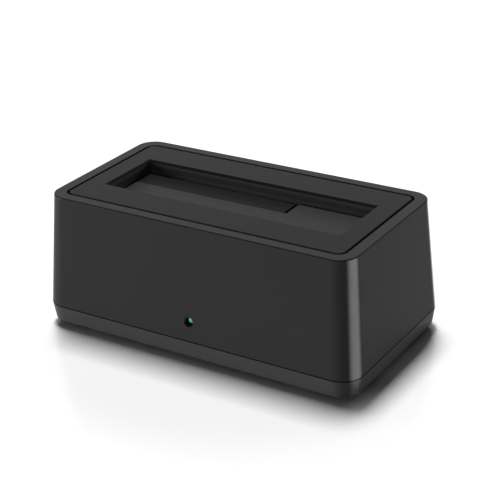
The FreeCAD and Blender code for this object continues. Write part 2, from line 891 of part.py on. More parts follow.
def make_usb_socket_core():
    """Plastic core: a rear block with the main tongue and the upper tongue."""
    start = rear_y - usb_length + usb_skin
    floor = rear_y - usb_cavity_depth
    tip = rear_y - usb_tongue_set_back
    base = board_high + usb_skin
    core = usb_prism(0, start, floor)
    tongue = block(usb_x - usb_tongue_half_width, usb_x + usb_tongue_half_width, floor - root_depth, tip,
                   base + usb_tongue_low, base + usb_tongue_high)
    upper = block(usb_x - usb_upper_tongue_half_width, usb_x + usb_upper_tongue_half_width,
                  floor - root_depth, tip, base + usb_upper_tongue_low,
                  base + usb_upper_tongue_low + usb_upper_tongue_thickness)
    return join([core, tongue, upper])


def make_usb_contacts():
    """Two contacts on each side of the main tongue and five under the upper one."""
    floor = rear_y - usb_cavity_depth
    end = floor + usb_contact_length
    base = board_high + usb_skin
    half = usb_contact_width / 2
    strips = []
    for x in (usb_x - usb_main_pitch / 2, usb_x + usb_main_pitch / 2):
        low = base + usb_tongue_low
        high = base + usb_tongue_high
        strips.append(block(x - half, x + half, floor, end, low - usb_contact_thickness, low))
        strips.append(block(x - half, x + half, floor, end, high, high + usb_contact_thickness))
    for index in range(usb_upper_contacts):
        x = usb_x + (index - (usb_upper_contacts - 1) / 2) * usb_upper_pitch
        low = base + usb_upper_tongue_low
        strips.append(block(x - usb_upper_contact_width / 2, x + usb_upper_contact_width / 2,
                            floor, end, low - usb_contact_thickness, low))
    return Part.makeCompound(strips)


def make_dc_jack_body():
    """Block with the round mouth of the power inlet."""
    body = block(dc_x - dc_width / 2, dc_x + dc_width / 2, rear_y - dc_length, rear_y,
                 board_high, board_high + dc_height)
    upright = [edge for edge in body.Edges
               if edge.BoundBox.YLength > dc_length / 2 and edge.BoundBox.ZMin > board_high + dc_height / 2]
    body = body.makeFillet(dc_rounding, upright)
    axis = board_high + dc_axis_height
    return body.cut(rod_y(dc_bore_radius, dc_x, axis, rear_y - dc_bore_depth, rear_y + cut_over))


def make_dc_jack_pin():
    """Round centre pin with a domed tip."""
    axis = board_high + dc_axis_height
    tip = rear_y - dc_pin_set_back - dc_pin_radius
    rod = rod_y(dc_pin_radius, dc_x, axis, rear_y - dc_bore_depth, tip)
    dome = Part.makeSphere(dc_pin_radius, Vector(dc_x, tip, axis))
    return join([rod, dome])


def terminals(places):
    """Round pins from under a board part down through the board."""
    low = board_low - pin_below_board
    return Part.makeCompound([rod_z(terminal_radius, x, y, low, board_high) for x, y in places])


# Rocker switch
switch_face = rear_y - switch_set_back
rocker_axis_y = switch_face - rocker_pivot_depth
switch_axis_z = board_high + switch_height / 2


def make_power_switch_frame():
    """Switch housing with the rocker's pocket and the two axle sockets."""
    half_z = switch_height / 2
    back = switch_face - switch_depth
    frame = block(switch_x - switch_half_length, switch_x + switch_half_length, back,
                  switch_face, switch_axis_z - half_z, switch_axis_z + half_z)
    pocket_x = rocker_half_length + rocker_end_clearance
    pocket_z = rocker_width / 2 + rocker_side_clearance
    drop = (rocker_foot_depth + rocker_foot_half_length * math.sin(math.radians(rocker_tilt))
            + rocker_floor_clearance)
    pocket = block(switch_x - pocket_x, switch_x + pocket_x, rocker_axis_y - drop,
                   switch_face + cut_over, switch_axis_z - pocket_z, switch_axis_z + pocket_z)
    reach = pocket_z + rocker_axle_length + pin_clearance
    sockets = rod_z(rocker_axle_radius + pin_clearance, switch_x, rocker_axis_y,
                    switch_axis_z - reach, switch_axis_z + reach)
    return frame.cut([pocket, sockets])


def make_power_switch_rocker():
    """Rocker with a shallow V front, tilted to its ON side, and two short axles."""
    points = [
        (-rocker_foot_half_length, -rocker_foot_depth),
        (rocker_foot_half_length, -rocker_foot_depth),
        (rocker_half_length, rocker_shoulder),
        (rocker_half_length, rocker_lip),
        (0, rocker_dip),
        (-rocker_half_length, rocker_lip),
        (-rocker_half_length, rocker_shoulder),
        (-rocker_foot_half_length, -rocker_foot_depth),
    ]
    low = switch_axis_z - rocker_width / 2
    outline_points = [Vector(switch_x + x, rocker_axis_y + y, low) for x, y in points]
    face = Part.Face(Part.makePolygon(outline_points))
    body = face.extrude(Vector(0, 0, rocker_width))
    reach = rocker_width / 2 + rocker_side_clearance + rocker_axle_length
    axle = rod_z(rocker_axle_radius, switch_x, rocker_axis_y, switch_axis_z - reach,
                 switch_axis_z + reach)
    rocker = join([body, axle])
    rocker.rotate(Vector(switch_x, rocker_axis_y, 0), Vector(0, 0, 1), -rocker_tilt)
    return rocker


def make_status_led():
    """Domed light with its flange, pointing out of the front."""
    dome_y = led_tip + led_radius
    barrel = rod_y(led_radius, 0, led_height, dome_y, led_back)
    dome = Part.makeSphere(led_radius, Vector(0, dome_y, led_height))
    flange = rod_y(led_flange_radius, 0, led_height, led_back - led_flange_thickness, led_back)
    return join([barrel, dome, flange])


def make_led_leads():
    """Two leads: straight back, then down through the board."""
    leads = []
    for x, y in led_pin_places():
        back = rod_y(led_lead_radius, x, led_height, led_back, y)
        elbow = Part.makeSphere(led_lead_radius, Vector(x, y, led_height))
        down = rod_z(led_lead_radius, x, y, board_low - pin_below_board, led_height)
        leads.append(join([back, elbow, down]))
    return Part.makeCompound(leads)


def make_led_holder():
    """Saddle on the board that carries the light."""
    back = led_back - led_flange_thickness - led_holder_gap
    half = led_holder_width / 2
    saddle = block(-half, half, back - led_holder_depth, back, board_high,
                   led_height + led_holder_over)
    return saddle.cut(rod_y(led_radius, 0, led_height, back - led_holder_depth - cut_over, back + cut_over))


def make_bridge_chip():
    """Square converter chip."""
    half = chip_size / 2
    body = block(chip_x - half, chip_x + half, chip_y - half, chip_y + half,
                 board_high + chip_lead_thickness, board_high + chip_height)
    return body


def make_bridge_chip_leads():
    """A row of flat leads along each side of the converter chip."""
    leads = []
    half = chip_size / 2
    for index in range(chip_lead_count):
        offset = (index - (chip_lead_count - 1) / 2) * chip_lead_pitch
        low = offset - chip_lead_width / 2
        high = offset + chip_lead_width / 2
        inner = half - chip_lead_reach
        outer = half + chip_lead_reach
        for near, far in ((-outer, -inner), (inner, outer)):
            leads.append(block(chip_x + near, chip_x + far, chip_y + low, chip_y + high,
                               board_high, board_high + chip_lead_thickness))
            leads.append(block(chip_x + low, chip_x + high, chip_y + near, chip_y + far,
                               board_high, board_high + chip_lead_thickness))
    return Part.makeCompound(leads)


def make_memory_chip():
    """Small chip that keeps the converter's settings."""
    return block(memory_x - memory_length / 2, memory_x + memory_length / 2,
                 memory_y - memory_width / 2, memory_y + memory_width / 2,
                 board_high, board_high + memory_height)


def make_crystal():
    """Metal can with rounded ends."""
    y = board_width / 2 - crystal_from_edge
    return rounded_block(crystal_length, crystal_width, crystal_corner,
                         board_high, board_high + crystal_height, crystal_x, y)


def make_power_coil(index):
    """Shielded coil with its round core showing on top."""
    x = coil_first_x + index * coil_spacing
    y = board_front + coil_from_edge
    case = rounded_block(coil_size, coil_size, component_corner, board_high,
                         board_high + coil_height, x, y)
    core = rod_z(coil_core_radius, x, y, board_high, board_high + coil_height + coil_core_rise)
    return join([case, core])


def make_capacitor(index):
    """Round can on its square base."""
    x = capacitor_first_x + index * capacitor_spacing
    y = board_front + capacitor_from_edge
    foot = rounded_block(capacitor_base, capacitor_base, component_corner, board_high,
                         board_high + capacitor_base_height, x, y)
    can = rod_z(capacitor_radius, x, y, board_high, board_high + capacitor_height)
    can = can.makeFillet(capacitor_rounding, level_edges(can, board_high + capacitor_height))
    return join([foot, can])


def make_regulator():
    """Voltage regulator with its metal tab side by side on the board."""
    y = board_front + regulator_from_edge
    half = regulator_length / 2
    body = block(regulator_x - half, regulator_x + half, y - regulator_width / 2,
                 y + regulator_width / 2, board_high, board_high + regulator_height)
    tab = block(regulator_x - half / 2, regulator_x + half / 2, y, y + regulator_width / 2
                + regulator_tab, board_high, board_high + regulator_tab_height)
    return join([body, tab])


def make_small_parts():
    """Rows of chip resistors and capacitors."""
    parts = []
    for row in range(small_part_rows):
        for column in range(small_part_columns):
            x = small_part_x + column * small_part_pitch
            y = small_part_y + row * small_part_pitch
            parts.append(block(x - small_part_length / 2, x + small_part_length / 2,
                               y - small_part_width / 2, y + small_part_width / 2,
                               board_high, board_high + small_part_height))
    return Part.makeCompound(parts)


def screw(x, y, seat, length, radius, head_radius, head_height, upward):
    """Pan-head screw with a cross recess; its head bears on seat from below or above."""
    sign = 1 if upward else -1
    far = seat + sign * length
    shank = rod_z(radius, x, y, min(seat, far), max(seat, far))
    outer = seat - sign * head_height
    head = rod_z(head_radius, x, y, min(seat, outer), max(seat, outer))
    low = min(outer, outer + sign * recess_cross_depth)
    high = max(outer, outer + sign * recess_cross_depth)
    half = recess_cross_width / 2
    reach = recess_cross_length / 2
    slot_x = block(x - reach, x + reach, y - half, y + half, low, high)
    slot_y = block(x - half, x + half, y - reach, y + reach, low, high)
    return join([shank, head]).cut([slot_x, slot_y])


def make_housing_screws():
    """Four long screws up through the tray into the hood."""
    seat = floor_low + housing_head_seat
    return Part.makeCompound([
        screw(x, y, seat, housing_screw_length, housing_screw_radius, housing_head_radius,
              housing_head_height, True)
        for x, y in corners(housing_screw_x, housing_screw_y)])


def make_board_screws():
    """Four screws down through the board into its standoffs."""
    return Part.makeCompound([
        screw(x, y, board_high, small_screw_length - blind_hole_spare, small_screw_radius,
              small_head_radius, small_head_height, False)
        for x, y in board_screw_places()])


def make_well_screws():
    """Four screws up through the well's lugs into the deck's bosses."""
    seat = deck_low - well_lug_drop - well_lug_thickness
    x_out = bay_length / 2 + well_wall + well_screw_out
    return Part.makeCompound([
        screw(x, y, seat, small_screw_length, small_screw_radius, small_head_radius,
              small_head_height, True)
        for x, y in corners(x_out, well_screw_spacing / 2)])


def make_foot(x, y):
    """Round rubber foot let into the tray's floor."""
    foot = rod_z(foot_radius, x, y, 0, floor_low + foot_recess)
    return foot.makeFillet(foot_rounding, level_edges(foot, 0))


def main():
    """Make every piece and write one file for each."""
    form = housing_solid()
    nodes = {
        "upper_shell": make_upper_shell(form),
        "base_tray": make_base_tray(form),
        "top_plate": make_top_plate(),
        "drive_well": make_drive_well(),
        "wide_door": make_wide_door(),
        "narrow_door": make_narrow_door(),
        "wide_door_pin": make_wide_door_pin(),
        "narrow_door_pin": make_narrow_door_pin(),
        "wide_door_spring": make_wide_door_spring(),
        "narrow_door_spring": make_narrow_door_spring(),
        "main_board": make_main_board(),
        "sata_connector": make_sata_connector(),
        "sata_contacts": make_sata_contacts(),
        "usb_socket_shell": make_usb_socket_shell(),
        "usb_socket_core": make_usb_socket_core(),
        "usb_contacts": make_usb_contacts(),
        "dc_jack_body": make_dc_jack_body(),
        "dc_jack_pin": make_dc_jack_pin(),
        "dc_jack_terminals": terminals(dc_pin_places()),
        "power_switch_frame": make_power_switch_frame(),
        "power_switch_rocker": make_power_switch_rocker(),
        "power_switch_terminals": terminals(switch_pin_places()),
        "status_led": make_status_led(),
        "led_leads": make_led_leads(),
        "led_holder": make_led_holder(),
        "bridge_chip": make_bridge_chip(),
        "bridge_chip_leads": make_bridge_chip_leads(),
        "memory_chip": make_memory_chip(),
        "crystal": make_crystal(),
        "voltage_regulator": make_regulator(),
        "small_board_parts": make_small_parts(),
        "housing_screws": make_housing_screws(),
        "board_screws": make_board_screws(),
        "well_screws": make_well_screws(),
    }
    for index in range(2):
        nodes["power_coil_%d" % (index + 1)] = make_power_coil(index)
    for index in range(capacitor_count):
        nodes["capacitor_%d" % (index + 1)] = make_capacitor(index)
    names = ("rear_right", "rear_left", "front_left", "front_right")
    for name, (x, y) in zip(names, corners(foot_x, foot_y)):
        nodes["foot_" + name] = make_foot(x, y)

    os.makedirs("parts", exist_ok=True)
    for name, shape in nodes.items():
        shape.exportStep("parts/%s.step" % name)
        print("%-24s solids %3d  volume %9.1f  valid %s"
              % (name, len(shape.Solids), shape.Volume, shape.isValid()))


main()
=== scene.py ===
import json
import math

import bmesh
import bpy
import numpy as np
from mathutils import Matrix, Vector

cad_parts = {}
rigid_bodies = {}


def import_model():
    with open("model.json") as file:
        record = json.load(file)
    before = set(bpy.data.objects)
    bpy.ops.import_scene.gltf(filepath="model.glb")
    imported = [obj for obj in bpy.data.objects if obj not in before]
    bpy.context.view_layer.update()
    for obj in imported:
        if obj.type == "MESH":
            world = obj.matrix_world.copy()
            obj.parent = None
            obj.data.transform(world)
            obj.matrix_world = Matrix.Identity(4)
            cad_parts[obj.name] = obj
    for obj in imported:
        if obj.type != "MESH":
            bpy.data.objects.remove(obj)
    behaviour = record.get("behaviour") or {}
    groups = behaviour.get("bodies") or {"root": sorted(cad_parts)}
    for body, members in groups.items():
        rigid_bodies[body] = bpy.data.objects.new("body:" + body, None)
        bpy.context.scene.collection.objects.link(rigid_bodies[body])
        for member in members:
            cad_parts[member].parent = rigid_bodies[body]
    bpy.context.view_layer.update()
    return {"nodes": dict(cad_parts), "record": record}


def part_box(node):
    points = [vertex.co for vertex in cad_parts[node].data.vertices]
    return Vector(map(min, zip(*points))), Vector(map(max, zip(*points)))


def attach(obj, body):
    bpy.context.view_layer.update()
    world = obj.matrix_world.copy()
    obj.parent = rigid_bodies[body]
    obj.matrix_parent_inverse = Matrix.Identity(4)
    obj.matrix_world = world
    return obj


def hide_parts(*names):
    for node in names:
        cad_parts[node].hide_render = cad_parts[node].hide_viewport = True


# A black box that docks one bare hard drive: its finishes, its small pieces, floor, light and
# camera. Metres, +Z up, front face towards -Y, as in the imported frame.

MM = 0.001
TAU = 2 * math.pi

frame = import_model()
nodes = frame["nodes"]


# Shader maths

class Value:
    """One output of a finish's nodes. Sums, products and powers add their Math nodes."""

    def __init__(self, finish, socket):
        self.finish = finish
        self.socket = socket

    def maths(self, operation, *others):
        """A Math node on this value and up to two more."""
        inputs = dict(enumerate((self,) + others))
        return self.finish.node("ShaderNodeMath", 0, {"operation": operation}, inputs)

    def __add__(self, other):
        return self.maths("ADD", other)

    def __mul__(self, other):
        return self.maths("MULTIPLY", other)

    def __sub__(self, other):
        return self.maths("SUBTRACT", other)

    def __rsub__(self, other):
        return self.maths("MULTIPLY_ADD", -1.0, other)

    def __pow__(self, other):
        return self.maths("POWER", other)

    __radd__ = __add__
    __rmul__ = __mul__

    def ramp(self, low, high):
        """0 below low, 1 above high, and a smooth step between them."""
        settings = {"interpolation_type": "SMOOTHSTEP"}
        inputs = {"Value": self, "From Min": low, "From Max": high}
        return self.finish.node("ShaderNodeMapRange", 0, settings, inputs)


class Finish:
    """A material being made: its nodes, and the surface shader that ends them."""

    def __init__(self, name, kept_in=bpy.data.materials):
        self.material = kept_in.new(name)
        self.material.use_nodes = True
        self.tree = self.material.node_tree
        self.tree.nodes.clear()
        self.place = self.node("ShaderNodeTexCoord", "Object", {}, {})

    def node(self, kind, output, settings, inputs):
        """Any node: its settings first, then the values or links of its sockets."""
        made = self.tree.nodes.new(kind)
        for name, value in settings.items():
            setattr(made, name, value)
        for name, value in inputs.items():
            if isinstance(value, Value):
                self.tree.links.new(value.socket, made.inputs[name])
            else:
                made.inputs[name].default_value = value
        return Value(self, made.outputs[output])

    def vector_maths(self, operation, *vectors):
        """A Vector Math node. A dot product and a length come out as a number."""
        output = "Value" if operation in ("DOT_PRODUCT", "LENGTH") else "Vector"
        settings = {"operation": operation}
        return self.node("ShaderNodeVectorMath", output, settings, dict(enumerate(vectors)))

    def part(self, axis, vector):
        """A vector's X, Y or Z part."""
        return self.node("ShaderNodeSeparateXYZ", axis, {}, {0: vector})

    def facing(self):
        """The way that the surface faces, smooth over rounded faces."""
        return self.node("ShaderNodeNewGeometry", "Normal", {}, {})

    def stretched(self, along_x, along_y, along_z):
        """Object coordinates multiplied along each axis, for marks that run one way."""
        return self.vector_maths("MULTIPLY", self.place, (along_x, along_y, along_z))

    def noise(self, size, detail=3.0, place=None):
        """Noise from 0 to 1 whose patches are about size metres across."""
        inputs = {"Vector": place or self.place, "Scale": 1.0 / size, "Detail": detail}
        return self.node("ShaderNodeTexNoise", 0, {}, inputs)

    def cells(self, size):
        """Distance from the nearest of points about size metres apart, in cells."""
        inputs = {"Vector": self.place, "Scale": 1.0 / size}
        return self.node("ShaderNodeTexVoronoi", "Distance", {}, inputs)

    def blend(self, share, first, second):
        """Colour first where share is 0 and colour second where it is 1."""
        settings = {"data_type": "RGBA", "clamp_factor": True}
        return self.node("ShaderNodeMix", 2, settings, {0: share, 6: first, 7: second})

    def edges(self, radius):
        """The normal with its edges rounded, and how much it is: 0 on a flat face, near 1
        along a sharp edge."""
        rounded = self.node("ShaderNodeBevel", 0, {"samples": 6}, {"Radius": radius})
        straight = self.node("ShaderNodeNewGeometry", "True Normal", {}, {})
        level = self.vector_maths("DOT_PRODUCT", rounded, straight)
        return rounded, (1.0 - level).ramp(0.02, 0.22)

    def creases(self, reach):
        """How deep a place lies in a gap: 0 in the open, 1 with walls all round within reach."""
        inputs = {"Distance": reach}
        return 1.0 - self.node("ShaderNodeAmbientOcclusion", "AO", {"samples": 8}, inputs)

    def shown(self):
        """1 for what the camera, a mirroring or a clear surface sees, 0 for light that spreads."""
        seen, mirrored, through = (
            self.node("ShaderNodeLightPath", kind, {}, {})
            for kind in ("Is Camera Ray", "Is Glossy Ray", "Is Transmission Ray"))
        return seen.maths("MAXIMUM", mirrored).maths("MAXIMUM", through)

    def bumped(self, height, under=None):
        """Normal of a relief whose height is given in metres."""
        inputs = {"Height": height, "Distance": 1.0, "Strength": 1.0}
        if under:
            inputs["Normal"] = under
        return self.node("ShaderNodeBump", 0, {}, inputs)

    def surface(self, **sockets):
        """Ends the material with one Principled shader. Names have _ for a space."""
        inputs = {name.replace("_", " "): value for name, value in sockets.items()}
        self.end(self.node("ShaderNodeBsdfPrincipled", 0, {}, inputs))
        return self.material

    def end(self, shader, output_kind="ShaderNodeOutputMaterial"):
        """Joins a shader to the output."""
        output = self.tree.nodes.new(output_kind)
        self.tree.links.new(shader.socket, output.inputs["Surface"])


def grey(level, warmth=0.0):
    """A near neutral colour; warmth above 0 leans to red and below 0 to blue."""
    return (level * (1 + warmth), level, level * (1 - warmth), 1.0)


# Finishes

PLASTIC_WARMTH = -0.003
PLASTIC_GLOSS = 0.035
PLASTIC_IOR = 1.48

# How near a gap's other wall has to be, and the colour of the painted shade deep in a gap, where
# little light gets in
GAP_REACH = 1.1 * MM
PAINTED_GAP_SHADE = 0.0012

# Upward parts of a normal: where upright faces, painted paler, end, and where top roundings,
# painted darker, start and end
UPRIGHT_ENDS = (0.10, 0.30)
ROUNDING_STARTS = (0.12, 0.30)
ROUNDING_ENDS = (0.93, 0.985)

# The way that the painted highlight down an upright corner faces, in one quarter of the plan,
# how near to it a normal has to be, and the polish there
CORNER_CREST = (0.90, 0.44, 0.0)
CREST_STARTS = (0.91, 1.0)
POLISH_ROUGHNESS = 0.16
POLISH_IOR = 1.95


def moulded(name, level, rough, grain, grain_height, edge_radius=0.18 * MM, painted_edge_light=1.4,
            painted_rounding_shade=1.0, painted_upright_light=1.0, painted_corner_highlight=0.0,
            gap_shade_from=0.45, gap_shade_full=0.75):
    """Moulded plastic: fine spark-eroded grain and faint flow marks. Edges are painted paler, a
    painted highlight, where the edge number is above 1, and darker, a painted shade, below it. The
    rounding number does so for top roundings, and the upright number for upright faces. The corner
    number is the colour of a painted highlight down the crest of the four upright corners, which
    are polished there. Painted shade starts at the first depth of a gap and is black at the
    second."""

    def shade(share):
        """The plastic's own colour, made darker or paler."""
        return grey(level * share, PLASTIC_WARMTH)

    finish = Finish(name)
    rounded, edge = finish.edges(edge_radius)
    # Painted shade: colour that goes to black deep in gaps, where little light gets in
    gap_shade = finish.creases(GAP_REACH).ramp(gap_shade_from, gap_shade_full)
    flow = finish.noise(38 * MM, 2.0)
    drift = finish.noise(7 * MM, 4.0, finish.stretched(1.0, 1.0, 0.35))
    speck = finish.noise(grain, 2.0)
    pits = finish.cells(grain * 1.3)
    rub = finish.noise(2.2 * MM, 3.0, finish.stretched(0.12, 0.12, 1.0)).ramp(0.60, 0.72)
    colour = finish.blend(flow * 0.5 + drift * 0.3 + speck * 0.2, shade(0.90), shade(1.10))
    # Edges painted paler, a painted highlight, above an edge number of 1, and darker, a painted
    # shade, below it
    colour = finish.blend(edge * 0.85, colour, shade(painted_edge_light))
    # Painted shade in gaps
    colour = finish.blend(gap_shade, colour, grey(PAINTED_GAP_SHADE))
    roughness = (drift - 0.5) * 0.08 + (speck - 0.5) * 0.05 + rough
    roughness = roughness - rub * 0.03 - edge * 0.05
    relief = (speck * 0.6 + pits * 0.4) * grain_height + flow * (0.004 * MM)
    polish = {}
    # Upright faces painted paler: painted light, kept out of gaps
    if painted_upright_light > 1:
        upward = finish.part("Z", finish.facing())
        lit_upright = (1.0 - upward.ramp(*UPRIGHT_ENDS)) * (1.0 - gap_shade)
        colour = finish.blend(lit_upright, colour, shade(painted_upright_light))
    # Top roundings painted darker: painted shade
    if painted_rounding_shade < 1:
        upward = finish.part("Z", finish.facing())
        shaded_rounding = upward.ramp(*ROUNDING_STARTS) * (1.0 - upward.ramp(*ROUNDING_ENDS))
        colour = finish.blend(shaded_rounding, colour, shade(painted_rounding_shade))
    # A painted highlight, a paler colour, down each upright corner's crest, under a real polished
    # coat
    if painted_corner_highlight:
        turned_out = finish.vector_maths("ABSOLUTE", finish.facing())
        crest = finish.vector_maths("DOT_PRODUCT", turned_out, CORNER_CREST).ramp(*CREST_STARTS)
        crest = crest * crest * ((drift - 0.5) * 0.5 + 1.0)
        colour = finish.blend(crest, colour, grey(painted_corner_highlight, PLASTIC_WARMTH))
        roughness = roughness - crest * 0.10
        polish = {"Coat_Weight": crest, "Coat_Roughness": POLISH_ROUGHNESS,
                  "Coat_IOR": POLISH_IOR}
    return finish.surface(Base_Color=colour, Roughness=roughness, IOR=PLASTIC_IOR,
                          Specular_IOR_Level=PLASTIC_GLOSS,
                          Normal=finish.bumped(relief, rounded), **polish)


def metal(name, colour, rough, run):
    """Plated or drawn metal: fine drawing lines along one way, dull patches, bright edges."""
    finish = Finish(name)
    rounded, edge = finish.edges(0.08 * MM)
    lines = finish.noise(0.12 * MM, 2.0, finish.stretched(*run))
    patch = finish.noise(3.0 * MM, 4.0)
    dull = tuple(part * 0.75 for part in colour) + (1.0,)
    bright = tuple(min(part * 1.12, 1.0) for part in colour) + (1.0,)
    tint = finish.blend(patch * 0.7 + lines * 0.3, dull, bright)
    tint = finish.blend(edge * 0.6, tint, bright)
    roughness = (lines - 0.5) * 0.18 + (patch - 0.5) * 0.14 + rough
    relief = lines * (0.0012 * MM)
    return finish.surface(Base_Color=tint, Roughness=roughness, Metallic=1.0,
                          Normal=finish.bumped(relief, rounded))


def laminate(name):
    """Green board: solder mask over paler tracks that run along and across, a woven glass
    relief, and bare edges."""
    finish = Finish(name)
    rounded, edge = finish.edges(0.1 * MM)
    across = finish.noise(5.5 * MM, 0.0, finish.stretched(0.35, 1.0, 1.0))
    along = finish.noise(6.5 * MM, 0.0, finish.stretched(1.0, 0.35, 1.0))
    bands = (across * 14.0).maths("PINGPONG", 0.5) * 2.0
    lanes = (along * 14.0).maths("PINGPONG", 0.5) * 2.0
    tracks = (1.0 - bands.ramp(0.10, 0.18)).maths("MAXIMUM", 1.0 - lanes.ramp(0.10, 0.18))
    weave = finish.cells(0.45 * MM)
    mask = finish.blend(weave * 0.6, (0.012, 0.090, 0.040, 1), (0.018, 0.125, 0.055, 1))
    colour = finish.blend(tracks, mask, (0.045, 0.235, 0.095, 1))
    colour = finish.blend(edge, colour, (0.30, 0.27, 0.13, 1))
    relief = tracks * (0.018 * MM) + weave * (0.003 * MM)
    roughness = weave * 0.08 - tracks * 0.05 + 0.27
    return finish.surface(Base_Color=colour, Roughness=roughness, Coat_Weight=tracks * 0.3,
                          Coat_Roughness=0.12, Normal=finish.bumped(relief, rounded))


def lit_resin(name, middle):
    """Clear green resin lit from inside: brightest about its axis, dark towards its rim."""
    finish = Finish(name)
    offset = finish.vector_maths("SUBTRACT", finish.place, tuple(middle))
    sideways = finish.part("X", offset)
    upwards = finish.part("Z", offset)
    reach = (sideways * sideways + upwards * upwards) ** 0.5
    core = 1.0 - reach.ramp(0.25 * MM, 1.55 * MM)
    streaks = finish.noise(0.5 * MM, 3.0)
    glow = finish.blend(core, (0.008, 0.075, 0.042, 1), (0.032, 0.205, 0.128, 1))
    body = finish.blend(streaks, (0.010, 0.16, 0.09, 1), (0.018, 0.22, 0.13, 1))
    roughness = streaks * 0.1 + 0.12
    return finish.surface(Base_Color=body, Roughness=roughness, Emission_Color=glow,
                          Emission_Strength=1.0, Coat_Weight=0.4, Coat_Roughness=0.05,
                          Normal=finish.bumped(streaks * (0.004 * MM)))


def rubber(name):
    """Soft matt foot: coarse blasted grain, dusty rim."""
    finish = Finish(name)
    rounded, edge = finish.edges(0.2 * MM)
    grain = finish.noise(0.35 * MM, 4.0)
    dust = finish.noise(2.0 * MM, 4.0).ramp(0.5, 0.8)
    colour = finish.blend(grain, grey(0.018), grey(0.030))
    colour = finish.blend(dust * 0.35 + edge * 0.2, colour, grey(0.075, 0.04))
    return finish.surface(Base_Color=colour, Roughness=grain * 0.15 + 0.75,
                          Specular_IOR_Level=0.3,
                          Normal=finish.bumped(grain * (0.012 * MM), rounded))


def sintered(name):
    """Pressed ferrite: speckled dark grey with small chips along its edges."""
    finish = Finish(name)
    rounded, edge = finish.edges(0.15 * MM)
    speck = finish.noise(0.25 * MM, 4.0)
    chips = (edge * finish.noise(0.6 * MM, 2.0)).ramp(0.30, 0.45)
    colour = finish.blend(speck, grey(0.040), grey(0.075))
    colour = finish.blend(chips, colour, grey(0.13))
    return finish.surface(Base_Color=colour, Roughness=speck * 0.2 + 0.6,
                          Normal=finish.bumped(speck * (0.006 * MM), rounded))


def painted(name):
    """White marking ink, a little thin in places."""
    finish = Finish(name)
    thin = finish.noise(0.4 * MM, 3.0)
    colour = finish.blend(thin, grey(0.60, 0.02), grey(0.78, 0.02))
    return finish.surface(Base_Color=colour, Roughness=thin * 0.2 + 0.45,
                          Normal=finish.bumped(thin * (0.004 * MM)))


def blue_core(name):
    """Blue moulded tongue of the square socket: speckled, with paler edges."""
    finish = Finish(name)
    rounded, edge = finish.edges(0.1 * MM)
    speck = finish.noise(0.4 * MM, 3.0)
    colour = finish.blend(speck, (0.010, 0.055, 0.30, 1), (0.016, 0.080, 0.38, 1))
    colour = finish.blend(edge * 0.4, colour, (0.05, 0.16, 0.52, 1))
    return finish.surface(Base_Color=colour, Roughness=speck * 0.1 + 0.38,
                          Normal=finish.bumped(speck * (0.002 * MM), rounded))


# How far from the box's middle the floor starts to turn plain white, and is so
PLAIN_FLOOR = (0.074, 0.112)


def paper_floor():
    """Pale studio floor with a barely visible tooth. Well away from the object it is plain
    white to whatever sees or mirrors it, whatever light falls there. To light that spreads it
    is a middle grey, so that it throws little back up at the object."""
    finish = Finish("studio_floor")
    tooth = finish.noise(60 * MM, 3.0)
    shown = finish.shown()
    away = finish.vector_maths("LENGTH", finish.place)
    plain = away.ramp(*PLAIN_FLOOR) * shown
    white = finish.blend(tooth, (0.965, 0.968, 0.975, 1), (0.985, 0.987, 0.990, 1))
    colour = finish.blend(shown, grey(0.45), white)
    colour = finish.blend(plain, colour, grey(0.0))
    return finish.surface(Base_Color=colour, Roughness=tooth * 0.06 + 0.16,
                          Specular_IOR_Level=0.5, Emission_Strength=1.0,
                          Emission_Color=finish.blend(plain, grey(0.0), grey(1.0)))


# Noise stretched for drawing lines along X, along Y and upright
DRAWN_X = (0.05, 1.0, 1.0)
DRAWN_Y = (1.0, 0.05, 1.0)
DRAWN_Z = (1.0, 1.0, 0.05)

# Shared by the two doors, which differ only in how dark they are: roughness, grain's size and
# height, and then the painted shade on edges and in gaps
DOOR_GRAIN = (0.36, 0.36 * MM, 0.0022 * MM)
DOOR_MARKS = {"painted_edge_light": 0.15, "gap_shade_from": 0.32, "gap_shade_full": 0.55}

led_low, led_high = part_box("status_led")

